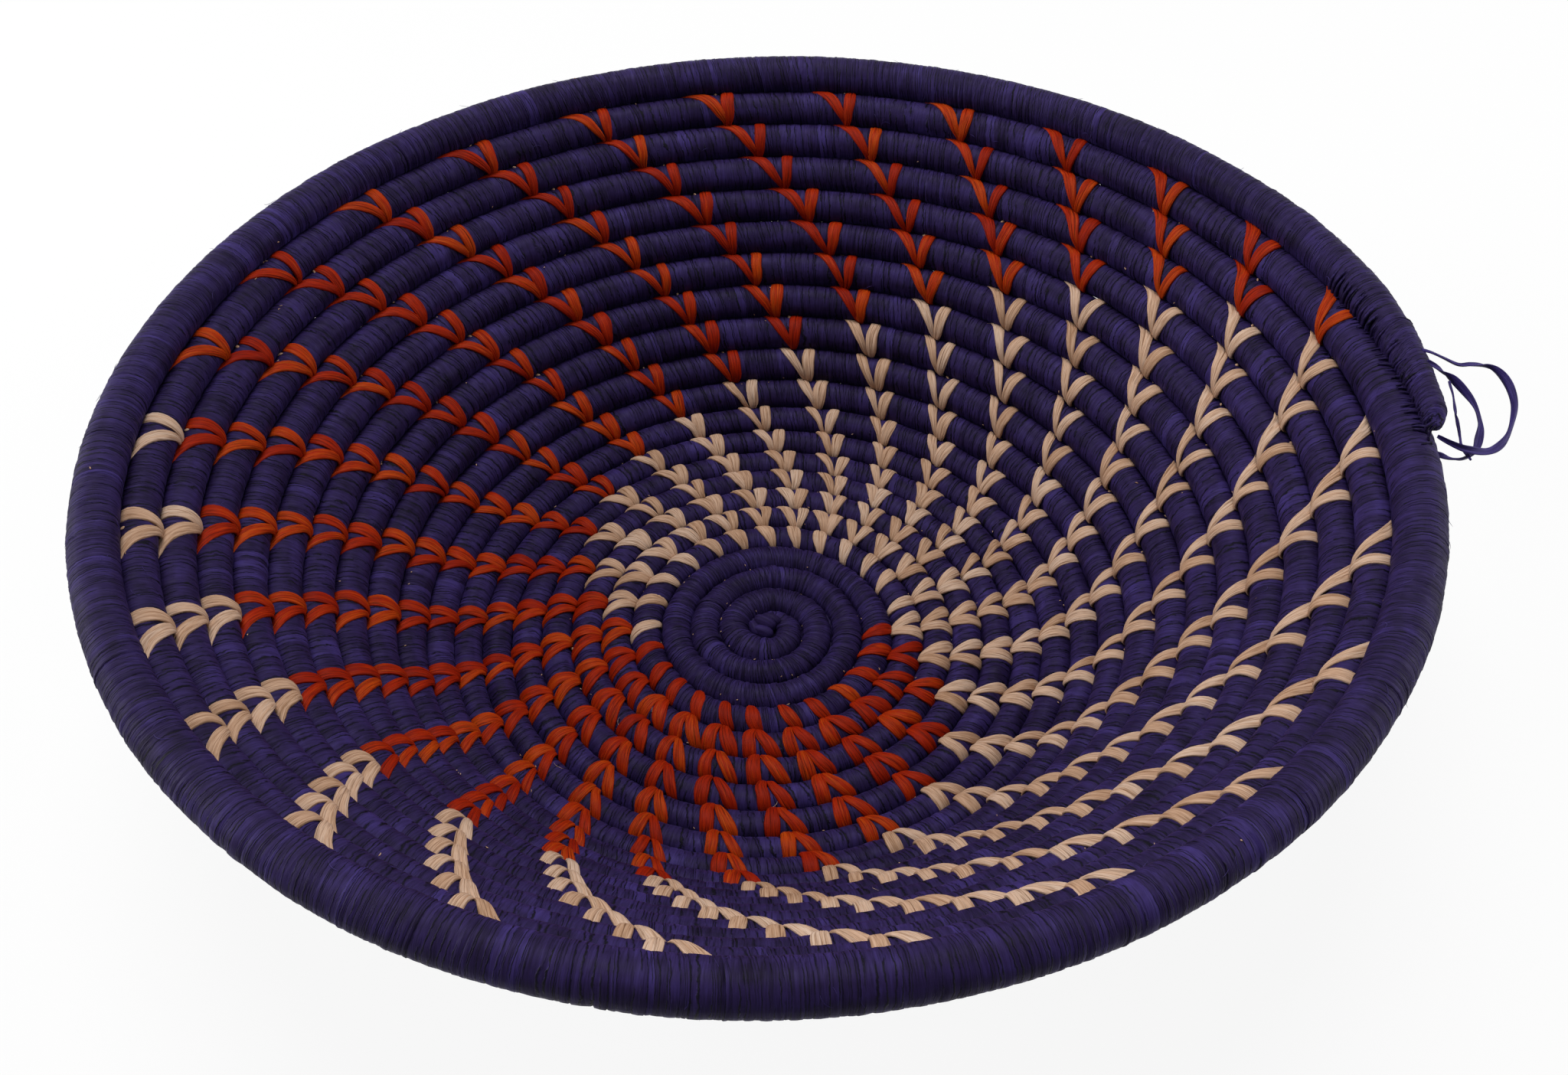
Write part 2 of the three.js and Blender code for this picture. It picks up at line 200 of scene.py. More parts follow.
CURVE_SAMPLES = 12
UPWARD = np.array([0.0, 0.0, 1.0])
HAIR_GUIDE = np.array([0.31, 0.27, 0.91])
HAIR_TIP = 0.05


def smoothstep(x, low, high):
    """Rises from 0 at low to 1 at high, or falls to 0 where low is the larger."""
    t = np.clip((x - low) / (high - low), 0, 1)
    return t * t * (3 - 2 * t)


def lerp(a, b, t):
    return a + (b - a) * t


def run_along(line):
    """The length run along a line up to each of its points."""
    return np.r_[0, np.cumsum(np.linalg.norm(np.diff(line, axis=0), axis=1))]


def across_line(line, guide):
    """Two directions square to the line at each of its points, the first of them square to the guide too."""
    ahead = np.gradient(line, axis=0)
    ahead /= np.linalg.norm(ahead, axis=1)[:, None]
    side = np.cross(ahead, guide)
    side /= np.linalg.norm(side, axis=1)[:, None]
    return side, np.cross(side, ahead)


def catmull_rom(points, count):
    """A smooth line through the points, with count samples evenly spaced along it."""
    p = np.array(points, float)
    p = np.vstack([2 * p[0] - p[1], p, 2 * p[-1] - p[-2]])
    fine = []
    for a, b, c, d in zip(p, p[1:], p[2:], p[3:]):
        t = np.linspace(0, 1, CURVE_SAMPLES, endpoint=False)[:, None]
        fine.append(0.5 * (2 * b + (c - a) * t + (2 * a - 5 * b + 4 * c - d) * t ** 2
                           + (3 * b - a - 3 * c + d) * t ** 3))
    fine = np.vstack(fine + [p[-2:-1]])
    run = run_along(fine)
    even = np.linspace(0, run[-1], count)
    return np.stack([np.interp(even, run, axis) for axis in fine.T], 1)


def smooth_noise(local, count, reach):
    """Random values that change slowly along their row, with a spread of about one."""
    window = np.hanning(2 * reach + 1)
    return np.convolve(local.normal(0, 1, count + 2 * reach), window / np.sqrt((window ** 2).sum()), "valid")


class MeshParts:
    """Collects closed tubes and turns them into one mesh object with point attributes."""

    def __init__(self):
        self.points, self.quads, self.caps, self.attributes, self.total = [], [], [], {}, 0

    def add_tube(self, rings, flip=False, **attributes):
        """A closed tube from an array of rings × sides × 3, in millimetres, with a flat cap at each end."""
        count, sides = rings.shape[:2]
        i = np.arange(count - 1)[:, None] * sides + self.total
        j = np.arange(sides)[None, :]
        k = (j + 1) % sides
        quads = np.stack([i + j, i + k, i + sides + k, i + sides + j], -1).reshape(-1, 4)
        first = self.total + np.arange(sides)
        last = self.total + (count - 1) * sides + np.arange(sides)
        self.quads.append(quads[:, ::-1] if flip else quads)
        self.caps += [first, last[::-1]] if flip else [first[::-1], last]
        self.points.append(rings.reshape(-1, 3))
        for key, values in attributes.items():
            width = 3 if np.ndim(values) == 3 else 1
            filled = np.broadcast_to(values, (count, sides, 3) if width == 3 else (count, sides))
            self.attributes.setdefault(key, []).append(filled.reshape(-1, width))
        self.total += count * sides

    def make(self, name, material):
        mesh = bpy.data.meshes.new(name)
        points = np.vstack(self.points).astype(np.float32) * MM
        quads = np.vstack(self.quads)
        mesh.vertices.add(len(points))
        mesh.vertices.foreach_set("co", points.ravel())
        corners = np.concatenate([quads.ravel()] + self.caps).astype(np.int32)
        sizes = np.r_[np.full(len(quads), 4), [len(cap) for cap in self.caps]].astype(np.int32)
        mesh.loops.add(len(corners))
        mesh.loops.foreach_set("vertex_index", corners)
        mesh.polygons.add(len(sizes))
        mesh.polygons.foreach_set("loop_start", np.r_[0, np.cumsum(sizes)[:-1]].astype(np.int32))
        mesh.polygons.foreach_set("use_smooth", np.ones(len(sizes), bool))
        mesh.update(calc_edges=True)
        for key, values in self.attributes.items():
            values = np.vstack(values).astype(np.float32)
            kind, field = ("FLOAT_VECTOR", "vector") if values.shape[1] == 3 else ("FLOAT", "value")
            mesh.attributes.new(key, kind, "POINT").data.foreach_set(field, values.ravel())
        mesh.materials.append(material)
        made = bpy.data.objects.new(name, mesh)
        bpy.context.collection.objects.link(made)
        return made


def hair_rings(line, radius, sides=5):
    """Rings of a thin round tube along a line, drawn to a point at both ends."""
    side, up = across_line(line, HAIR_GUIDE)
    angle = np.arange(sides) / sides * TAU
    share = np.linspace(0, 1, len(line))
    thick = radius * np.sqrt(np.clip(4 * share * (1 - share), HAIR_TIP, 1))
    ring = np.cos(angle)[None, :, None] * side[:, None, :] + np.sin(angle)[None, :, None] * up[:, None, :]
    return line[:, None, :] + thick[:, None, None] * ring


# Materials

# Noises along the fibres: how far each is stretched along and round the coil or along and across a leg,
# its scale, detail and roughness
WRAP_STREAK = ((1.0, 0.1, 0.1), 1.9, 3.0, 0.65)
WRAP_FINE = ((1.0, 0.06, 0.06), 3.4, 2.0, 0.7)
WRAP_CLOUD = ((0.09, 0.3, 0.3), 1.0, 2.0, 0.5)
WRAP_WAVE = ((0.5, 0.4, 0.4), 1.0, 3.0, 0.6)
WRAP_BREAK = ((0.9, 0.17, 0.17), 1.0, 2.0, 0.6)
LEG_STREAK = ((1.0, 0.06, 1.0), 2.2, 3.0, 0.65)
LEG_FINE = ((1.0, 0.035, 1.0), 6.5, 2.0, 0.6)

# Ranges that turn a value into a tone, a mask or a place: from low and high, to low and high
CLOUD_TONE = (0.3, 0.7, -0.1, 0.16)
LIGHT_STRAND_TONE = (0.88, 0.97, 0.0, 0.16)
WRAP_WAVING = (0.3, 0.7, -0.1, 0.1)
WRAP_SPLIT = (0.0, 1.0, 0.2, 0.8)
# Painted shade: the crack lines along the strands' edges and splits, and the fine gaps, mix in the dark
# crack colour
SHADED_CRACK_LINE = (0.02, 0.075, 1.0, 0.0)
CRACK_BREAKS = (0.38, 0.52, 0.0, 1.0)
WRAP_SHADED_GAPS = (0.5, 0.72, 0.0, 0.6)
# Painted shade in the fine gaps between a leg's fibres
LEG_SHADED_GAPS = (0.48, 0.66, 0.0, 0.65)

# Shares of the tone, the places of the three colours on it, and how far the roughness strays
STRAND_SHARE, WRAP_STREAK_SHARE = 0.16, 0.72
LEG_SHARE, LEG_STREAK_SHARE = 0.28, 0.8
WRAP_STOPS = (0.2, 0.52, 0.86)
LEG_STOPS = (0.28, 0.54, 0.8)
NOISE_LOW, NOISE_HIGH = 0.3, 0.7
ROUGHER, WRAP_SMOOTHER, LEG_SMOOTHER = 0.1, 0.08, 0.06
SPLIT_SEED = 0.37
RAFFIA_SPECULAR = 0.08

# Bump: its shares of the streaks and of the fine fibres, its depth and its strength
WRAP_BUMP = (0.6, 0.4, 0.24, 0.65)
LEG_BUMP = (0.5, 0.6, 0.25, 0.6)


def new_material(name):
    material = bpy.data.materials.new(name)
    material.use_nodes = True
    nodes = material.node_tree.nodes
    nodes.clear()
    shader = nodes.new("ShaderNodeBsdfPrincipled")
    out = nodes.new("ShaderNodeOutputMaterial")
    material.node_tree.links.new(shader.outputs["BSDF"], out.inputs["Surface"])
    return material, shader


class Nodes:
    """Short ways to add and link shader nodes."""

    def __init__(self, material):
        self.tree = material.node_tree

    def link(self, source, socket):
        self.tree.links.new(source, socket)

    def attribute(self, name, output="Fac"):
        node = self.tree.nodes.new("ShaderNodeAttribute")
        node.attribute_name = name
        return node.outputs[output]

    def math(self, operation, a, b=0.0):
        node = self.tree.nodes.new("ShaderNodeMath")
        node.operation = operation
        for socket, value in zip(node.inputs, (a, b)):
            if isinstance(value, (int, float)):
                socket.default_value = value
            else:
                self.link(value, socket)
        return node.outputs[0]

    def scaled(self, vector, scale):
        node = self.tree.nodes.new("ShaderNodeVectorMath")
        node.operation = "MULTIPLY"
        self.link(vector, node.inputs[0])
        node.inputs[1].default_value = scale
        return node.outputs[0]

    def noise(self, vector, stretch, scale, detail, roughness):
        stretched = self.scaled(vector, stretch)
        node = self.tree.nodes.new("ShaderNodeTexNoise")
        self.link(stretched, node.inputs["Vector"])
        node.inputs["Scale"].default_value = scale
        node.inputs["Detail"].default_value = detail
        node.inputs["Roughness"].default_value = roughness
        return node.outputs["Fac"]

    def white_noise(self, value):
        node = self.tree.nodes.new("ShaderNodeTexWhiteNoise")
        node.noise_dimensions = "1D"
        self.link(value, node.inputs["W"])
        return node.outputs["Value"]

    def spread(self, value, low, high, to_low, to_high):
        node = self.tree.nodes.new("ShaderNodeMapRange")
        self.link(value, node.inputs["Value"])
        for key, number in zip(("From Min", "From Max", "To Min", "To Max"), (low, high, to_low, to_high)):
            node.inputs[key].default_value = number
        return node.outputs["Result"]

    def ramp(self, value, stops):
        """A colour from the value, by three stops, each a place and a colour."""
        node = self.tree.nodes.new("ShaderNodeValToRGB")
        self.link(value, node.inputs["Fac"])
        elements = node.color_ramp.elements
        elements.new(0.5)
        for element, (place, colour) in zip(elements, stops):
            element.position = place
            element.color = (*colour, 1)
        return node.outputs["Color"]

    def mix(self, factor, a, b):
        node = self.tree.nodes.new("ShaderNodeMix")
        node.data_type = "RGBA"
        self.link(factor, node.inputs["Factor"])
        for key, value in (("A", a), ("B", b)):
            socket = next(s for s in node.inputs if s.name == key and s.type == "RGBA")
            if isinstance(value, tuple):
                socket.default_value = (*value, 1)
            else:
                self.link(value, socket)
        return next(s for s in node.outputs if s.type == "RGBA")

    def bump(self, height, distance, strength, shader):
        node = self.tree.nodes.new("ShaderNodeBump")
        self.link(height, node.inputs["Height"])
        node.inputs["Distance"].default_value = distance * MM
        node.inputs["Strength"].default_value = strength
        self.link(node.outputs["Normal"], shader.inputs["Normal"])


def wrapped_material(name, dark, middle, bright, crack, roughness):
    """Dyed raffia wrapped round the coil: a tone per strand, fine fibres along it, and painted shade in the
    cracks between strands and in the fine gaps between fibres.
    """
    material, shader = new_material(name)
    n = Nodes(material)
    fibre = n.attribute("fibre", "Vector")
    wrap = n.attribute("wrap")
    number = n.math("FLOOR", wrap)
    strand = n.white_noise(number)
    streak = n.noise(fibre, *WRAP_STREAK)
    fine = n.noise(fibre, *WRAP_FINE)
    cloud = n.noise(fibre, *WRAP_CLOUD)
    streak_tone = n.math("MULTIPLY", streak, WRAP_STREAK_SHARE)
    tone = n.math("ADD", n.math("MULTIPLY", strand, STRAND_SHARE), streak_tone)
    tone = n.math("ADD", tone, n.spread(cloud, *CLOUD_TONE))
    tone = n.math("ADD", tone, n.spread(strand, *LIGHT_STRAND_TONE))
    colour = n.ramp(tone, zip(WRAP_STOPS, (dark, middle, bright)))
    wavy = n.spread(n.noise(fibre, *WRAP_WAVE), *WRAP_WAVING)
    place = n.math("ADD", n.math("SUBTRACT", wrap, number), wavy)
    split = n.spread(n.white_noise(n.math("ADD", number, SPLIT_SEED)), *WRAP_SPLIT)
    near_split = n.math("ABSOLUTE", n.math("SUBTRACT", place, split))
    near_edge = n.math("SUBTRACT", 0.5, n.math("ABSOLUTE", n.math("SUBTRACT", place, 0.5)))
    near = n.math("MINIMUM", near_split, near_edge)
    # Painted shade: dark lines at each strand's edges and at a random split, broken up, together with each
    # crack's painted shade by its depth; these and the fine gaps take the crack colour
    broken = n.spread(n.noise(fibre, *WRAP_BREAK), *CRACK_BREAKS)
    line = n.math("MULTIPLY", n.spread(near, *SHADED_CRACK_LINE), broken)
    line = n.math("MAXIMUM", line, n.attribute("crack"))
    colour = n.mix(n.spread(fine, *WRAP_SHADED_GAPS), colour, crack)
    colour = n.mix(line, colour, crack)
    n.link(colour, shader.inputs["Base Color"])
    rough = n.spread(streak, NOISE_LOW, NOISE_HIGH, roughness + ROUGHER, roughness - WRAP_SMOOTHER)
    n.link(rough, shader.inputs["Roughness"])
    shader.inputs["Specular IOR Level"].default_value = RAFFIA_SPECULAR
    streak_share, fine_share, depth, strength = WRAP_BUMP
    height = n.math("ADD", n.math("MULTIPLY", streak, streak_share), n.math("MULTIPLY", fine, fine_share))
    n.bump(n.math("SUBTRACT", height, line), depth, strength, shader)
    return material


def stitch_material(name, dark, middle, bright, gap, roughness):
    """Bundles of raffia fibres: streaks along each leg, and painted shade in the gaps between the bundles,
    at the legs' edges and on their undersides.
    """
    material, shader = new_material(name)
    n = Nodes(material)
    fibre = n.attribute("fibre", "Vector")
    streak = n.noise(fibre, *LEG_STREAK)
    fine = n.noise(fibre, *LEG_FINE)
    leg = n.math("MULTIPLY", n.attribute("leg"), LEG_SHARE)
    tone = n.math("ADD", n.math("MULTIPLY", streak, LEG_STREAK_SHARE), leg)
    colour = n.ramp(tone, zip(LEG_STOPS, (dark, middle, bright)))
    # Painted shade: the fine gaps, the deeper gaps between fibres, the edges and the underside take the dark
    # gap colour
    colour = n.mix(n.spread(fine, *LEG_SHADED_GAPS), colour, gap)
    colour = n.mix(n.attribute("gap"), colour, gap)
    n.link(colour, shader.inputs["Base Color"])
    rough = n.spread(fine, NOISE_LOW, NOISE_HIGH, roughness - LEG_SMOOTHER, roughness + ROUGHER)
    n.link(rough, shader.inputs["Roughness"])
    shader.inputs["Specular IOR Level"].default_value = RAFFIA_SPECULAR
    streak_share, fine_share, depth, strength = LEG_BUMP
    fine_height = n.math("MULTIPLY", fine, fine_share)
    height = n.math("SUBTRACT", n.math("MULTIPLY", streak, streak_share), fine_height)
    n.bump(height, depth, strength, shader)
    return material


# Each raffia: its dark, middle and bright colour, the colour of the painted shade in its cracks or gaps, and
# its roughness
INDIGO = wrapped_material("indigo raffia", (0.0060, 0.0027, 0.016), (0.0218, 0.0125, 0.064),
                          (0.042, 0.027, 0.139), (0.0015, 0.0009, 0.0045), 0.55)
STRIP = stitch_material("indigo strip raffia", (0.015, 0.008, 0.055), (0.035, 0.022, 0.13),
                        (0.08, 0.058, 0.22), (0.006, 0.004, 0.02), 0.45)
ORANGE = stitch_material("orange raffia", (0.20, 0.0052, 0.0003), (0.330, 0.0165, 0.0004),
                         (0.45, 0.060, 0.003), (0.05, 0.0025, 0.0005), 0.55)
CREAM = stitch_material("cream raffia", (0.37, 0.208, 0.120), (0.565, 0.365, 0.250),
                        (0.64, 0.475, 0.370), (0.17, 0.078, 0.032), 0.52)


# Camera and the cords come first

# A strip's twists, ripples and creases: how much, and how often along it; and how it narrows at its ends
SLOW_TWIST, SLOW_TWISTS = 0.7, 9
QUICK_TWIST, QUICK_TWISTS = 0.3, 23
RIPPLE, RIPPLES, RIPPLE_MEAN = 0.2, 14, 0.85
CREASE, CREASES = 0.14, 5
STRIP_END, STRIP_BODY, STRIP_TAPER = 0.62, 0.38, 0.3


def make_camera():
    data = bpy.data.cameras.new("camera")
    data.lens, data.sensor_width = CAMERA_LENS, SENSOR_WIDTH
    data.clip_start, data.clip_end = CAMERA_CLIP
    camera = bpy.data.objects.new("camera", data)
    bpy.context.collection.objects.link(camera)
    forward = (CAMERA_TARGET - CAMERA_PLACE).normalized()
    right = forward.cross(Vector((0, 0, 1))).normalized()
    up = right.cross(forward)
    c, s = math.cos(CAMERA_ROLL), math.sin(CAMERA_ROLL)
    rolled_right, rolled_up = c * right + s * up, c * up - s * right
    turned = Matrix((rolled_right, rolled_up, -forward)).transposed()
    camera.matrix_world = Matrix.Translation(CAMERA_PLACE * MM) @ turned.to_4x4()
    bpy.context.scene.camera = camera


def strip_object(name, points, width, thickness, twist, seed):
    """A flat strip swept along its route, creased and twisted; returns the object and its centreline."""
    line = catmull_rom(points, STRIP_SAMPLES)
    run = run_along(line)
    side, up = across_line(line, UPWARD)
    share = run / run[-1]
    slow_turn = SLOW_TWIST * np.sin(share * SLOW_TWISTS + seed)
    quick_turn = QUICK_TWIST * np.sin(share * QUICK_TWISTS + 2 * seed)
    turn = twist * share * math.pi + slow_turn + quick_turn
    ripple = RIPPLE_MEAN + RIPPLE * np.sin(share * RIPPLES + seed)
    taper = STRIP_END + STRIP_BODY * np.sin(math.pi * share) ** STRIP_TAPER
    wide = width / 2 * ripple * taper
    angle = np.arange(STRIP_SIDES) / STRIP_SIDES * TAU
    across = np.cos(angle)[None, :] * wide[:, None]
    fold = (1 - 2 * np.abs(np.cos(angle)))[None, :]
    crease = CREASE * width * fold * np.sin(share * CREASES + seed)[:, None]
    lift = np.sin(angle)[None, :] * thickness / 2 + crease
    u = np.cos(turn)[:, None] * side + np.sin(turn)[:, None] * up
    v = np.cos(turn)[:, None] * up - np.sin(turn)[:, None] * side
    body = line[:, None, :] + across[..., None] * u[:, None, :] + lift[..., None] * v[:, None, :]
    fibre = np.stack(np.broadcast_arrays(across, run[:, None], np.float64(seed)), -1)
    parts = MeshParts()
    parts.add_tube(body, fibre=fibre, gap=0.0, leg=0.5)
    return parts.make(name, STRIP), line


def make_cords():
    thin, _ = strip_object("loop_thin_strand", THIN_STRAND, THIN_WIDTH, THIN_THICKNESS,
                           THIN_TWIST, THIN_SEED)
    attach(thin, "root")
    outer, outer_line = strip_object("loop_strip_outer", OUTER_STRIP, STRIP_WIDTH, STRIP_THICKNESS,
                                     OUTER_TWIST, OUTER_SEED)
    inner, inner_line = strip_object("loop_strip_inner", INNER_STRIP, STRIP_WIDTH, STRIP_THICKNESS,
                                     INNER_TWIST, INNER_SEED)
    for made, line, node, extra in ((outer, outer_line, "hanging_strip_outer", []),
                                    (inner, inner_line, "hanging_strip_inner", [thin])):
        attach(made, "root")
        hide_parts(node)


make_camera()
make_cords()


# The coil's line, as in the CAD model

def profile_at(arc):
    bend_arc = BEND_RADIUS * WALL_ANGLE
    slope = np.clip((arc - FLOOR_RADIUS) / BEND_RADIUS, 0, WALL_ANGLE)
    past = np.maximum(arc - FLOOR_RADIUS - bend_arc, 0)
    radius = np.minimum(arc, FLOOR_RADIUS) + BEND_RADIUS * np.sin(slope) + past * math.cos(WALL_ANGLE)
    height = BEND_RADIUS * (1 - np.cos(slope)) + past * math.sin(WALL_ANGLE)
    return radius, height, slope


def arc_at(turn):
    span = GROW_LAST - GROW_FIRST
    x = np.clip((turn - GROW_FIRST) / span, 0, 1)
    grown = span * (x ** 3 - x ** 4 / 2) + np.maximum(turn - GROW_LAST, 0)
    return FLOOR_PITCH * turn - CENTRE_SHIFT + (WALL_PITCH - FLOOR_PITCH) * grown


def rim_share(turn):
    return smoothstep(turn, RIM_TURN, RIM_TURN + RIM_BLEND)


RIM_SHIFT = (RIM_GROWTH - 1) * (WALL_PITCH - TURN_GAP) / 2


def coil_frame(turn):
    """The coil's middle at any turns, its directions to the next turn and to the inside, and its radius."""
    turn = np.asarray(turn, float)
    start = lerp(START_SHARE, 1, smoothstep(turn, FIRST_TURN, FIRST_TURN + START_TURNS))
    end = lerp(1, END_SHARE, smoothstep(turn, LAST_TURN - END_TURNS, LAST_TURN))
    pitch = arc_at(turn + 0.5) - arc_at(turn - 0.5)
    full = COIL_SQUEEZE / 2 * pitch * lerp(1, RIM_GROWTH, rim_share(turn))
    rim = RIM_SHIFT * (rim_share(turn) + 2 * rim_share(turn - 1))
    swell = SWELL * np.exp(-((turn - SWELL_TURN) / SWELL_TURNS) ** 2)
    swing = np.sin(WOBBLE_RATE * turn + 2 * np.sin(WOBBLE_SWAY * turn))
    wobble = CENTRE_WOBBLE * swing * smoothstep(turn, WOBBLE_ENDS, WOBBLE_FADES)
    radius, height, slope = profile_at(arc_at(turn) + rim + swell + wobble - END_TUCK * full * (1 - end))
    angle = -(TAU * turn + TURN_ZERO_ANGLE)
    outward = np.stack([np.cos(angle), np.sin(angle), 0 * angle], -1)
    cos, sin = np.cos(slope)[..., None], np.sin(slope)[..., None]
    middle = outward * radius[..., None] + UPWARD * (height + REST_HEIGHT)[..., None]
    return middle, outward * cos + UPWARD * sin, UPWARD * cos - outward * sin, full * start * end + swell


def axis_distance(turn):
    """How far the coil's middle is from the bowl's axis at one turn."""
    middle = coil_frame(np.array([turn]))[0][0]
    return math.hypot(middle[0], middle[1])


def coil_point(turn, angle, lift):
    """A point on the round coil: angle 0 faces the bowl's inside, and a quarter turn faces the next turn."""
    middle, across, inside, radius = coil_frame(turn)
    out = (radius + lift)[..., None]
    return middle + out * (np.sin(angle)[..., None] * across + np.cos(angle)[..., None] * inside)


# A table from turns to the length run along the coil, a little longer than the coil at both ends
TABLE_MARGIN, TABLE_SIZE = 0.2, 24000
TABLE_TURNS = np.linspace(FIRST_TURN - TABLE_MARGIN, LAST_TURN + TABLE_MARGIN, TABLE_SIZE)
TABLE_RUN = run_along(coil_frame(TABLE_TURNS)[0])


def run_at(turn):
    return np.interp(turn, TABLE_TURNS, TABLE_RUN)


def turn_at(run):
    return np.interp(run, TABLE_RUN, TABLE_TURNS)


CENTRE_RUN = run_at(CENTRE_TURNS)


# The wrapped coil

# A strand's four rings: the crack at its start, one shoulder, the crown and the other shoulder
RING_SHARES = np.array([0.0, 0.09, 0.5, 0.91])
RINGS = len(RING_SHARES)
# Random widths of the strands and depths of the cracks, as shares of the mean, and their limits
WIDTH_SPREAD, WIDTH_LIMITS = (-0.08, 0.42), (0.35, 2.4)
DEPTH_SPREAD, DEPTH_LIMITS = (0.9, 0.5), (0.04, 1.6)
# How much painted shade a crack gets for its depth
CRACK_SHADE = 1.5
# A crack's depth round the coil: towards one side of it at random, and towards the inside and outside
CRACK_MEAN, CRACK_TURNED = 0.55, 0.45
CRACK_EDGE, CRACK_FACE = 0.25, 0.75
SHOULDER_SPREAD = 0.055
CROWN_SHARE, CROWN_LIMIT = 0.025, 0.07
# How far the strands wave and bow along the coil, as shares, and over how many rings
WAVE_SHARE, BOW_SHARE, WAVE_REACH = 0.3, 0.3, 30
# Long lumps of the coil: their height, length and drift; and short ones, in the middle and elsewhere
LUMP_HEIGHT, LUMP_LENGTH, LUMP_DRIFT = 0.09, 17, 41
CENTRE_LUMPS, OUTER_LUMPS, LUMP_REACH = 0.2, 0.05, 5
TIP_SHARE = 0.02
GRAIN_RADIUS = 4


def strand_starts(first, last, width_at, local):
    """Where each wrapped strand starts, as a run along the coil."""
    starts = [run_at(first)]
    end = run_at(last)
    while starts[-1] < end:
        width = width_at(float(turn_at(starts[-1])))
        share = float(np.clip(local.lognormal(*WIDTH_SPREAD), *WIDTH_LIMITS))
        starts.append(starts[-1] + width * share)
    return np.array(starts[:-1])


def wrapped_tube(first, last, width_at, crack_depth, lean, raise_by, local, tips):
    """Rings and their attributes for wrapped strands round a stretch of the coil, four rings to a strand."""
    starts = strand_starts(first, last, width_at, local)
    count = len(starts) - 1
    widths = np.diff(starts)
    run = (starts[:-1, None] + widths[:, None] * RING_SHARES).ravel()
    wrap = (np.arange(count)[:, None] + RING_SHARES).ravel()
    depth = np.clip(local.gamma(*DEPTH_SPREAD, count), *DEPTH_LIMITS) * crack_depth
    shoulders = local.normal(0, SHOULDER_SPREAD, (2, count))
    crown = np.minimum(CROWN_SHARE * widths, CROWN_LIMIT)
    groove_at = local.uniform(0, TAU, count)
    angle = np.arange(COIL_SIDES) / COIL_SIDES * TAU
    deepest = CRACK_MEAN + CRACK_TURNED * np.cos(2 * (angle[None, :] - groove_at[:, None]))
    facing = deepest * (CRACK_EDGE + CRACK_FACE * np.cos(angle) ** 2)
    offset = np.zeros((count, RINGS, COIL_SIDES))
    offset[:, 0] = -depth[:, None] * facing
    offset[:, 1] = shoulders[0][:, None]
    offset[:, 2] = (shoulders.mean(0) + crown)[:, None]
    offset[:, 3] = shoulders[1][:, None]
    offset = offset.reshape(-1, COIL_SIDES) + raise_by
    # Painted shade in the crack at each strand's start, darker where the crack is deeper
    crack = np.zeros((count, RINGS, COIL_SIDES))
    crack[:, 0] = np.clip(CRACK_SHADE * depth[:, None] * facing / crack_depth, 0, 1)
    crack = crack.reshape(-1, COIL_SIDES)
    wave = smooth_noise(local, len(run), WAVE_REACH)
    bow = smooth_noise(local, len(run), WAVE_REACH)
    shift = -(lean * (1 + WAVE_SHARE * wave))[:, None] * np.sin(angle)
    shift = shift + (BOW_SHARE * bow)[:, None] * np.cos(angle)
    drift = 3 * np.sin(run[:, None] / LUMP_DRIFT)
    lumps = LUMP_HEIGHT * np.sin(run[:, None] / LUMP_LENGTH + 2 * angle + drift)
    short = np.abs(smooth_noise(local, len(run), LUMP_REACH))
    lumps += (short * np.where(run < CENTRE_RUN, CENTRE_LUMPS, OUTER_LUMPS))[:, None]
    moved = run[:, None] + shift * np.minimum(1, widths.mean())
    turns = turn_at(np.clip(moved, run[0], run[-1]))
    closed = np.ones(len(run))
    if tips:
        closed *= np.sqrt(1 - (1 - np.clip((run - run[0]) / tips, 0, 1)) ** 2)
        closed *= np.sqrt(1 - (1 - np.clip((run[-1] - run) / tips, 0, 1)) ** 2)
    radius = coil_frame(turns)[3]
    lift = (radius + offset + lumps) * np.maximum(closed, TIP_SHARE)[:, None] - radius
    points = coil_point(turns, np.broadcast_to(angle, turns.shape), lift)
    points[..., 2] = np.maximum(points[..., 2], 0)
    round_coil = GRAIN_RADIUS * np.cos(angle), GRAIN_RADIUS * np.sin(angle)
    fibre = np.stack(np.broadcast_arrays(run[:, None] + shift, *round_coil), -1)
    return points, {"fibre": fibre, "crack": crack, "wrap": np.broadcast_to(wrap[:, None], turns.shape)}


def strand_width(turn):
    past_centre = float(smoothstep(turn, WIDER_FIRST, WIDER_LAST))
    plain = lerp(CENTRE_STRAND, WALL_STRAND, past_centre)
    return lerp(plain, RIM_STRAND, float(smoothstep(turn, RIM_TURN, RIM_TURN + RIM_NARROWING)))


def make_coil():
    local = np.random.default_rng(COIL_SEED)
    points, attributes = wrapped_tube(FIRST_TURN, LAST_TURN, strand_width, CRACK_DEPTH, STRAND_LEAN, 0,
                                      local, COIL_TIP)
    cuts = RINGS * np.linspace(0, len(points) // RINGS - 1, COIL_LENGTHS + 1).astype(int)
    cuts[-1] = len(points) - 1
    for place, (first, last) in enumerate(zip(cuts, cuts[1:])):
        stretch = slice(first, last + 1)
        parts = MeshParts()
        parts.add_tube(points[stretch], **{key: values[stretch] for key, values in attributes.items()})
        coil = parts.make(f"wrapped_coil_{place + 1}", INDIGO)
        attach(coil, "root")
        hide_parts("coil")


def make_whipping():
    parts = MeshParts()
    local = np.random.default_rng(WHIPPING_SEED)
    points, attributes = wrapped_tube(WHIPPING_FIRST, WHIPPING_LAST, lambda turn: WHIPPING_STRAND,
                                      WHIPPING_CRACK, WHIPPING_LEAN, WHIPPING_RISE, local, WHIPPING_TIP)
    parts.add_tube(points, **attributes)
    whipping = parts.make("rim_end_whipping", INDIGO)
    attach(whipping, "root")
    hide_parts("end_whipping")


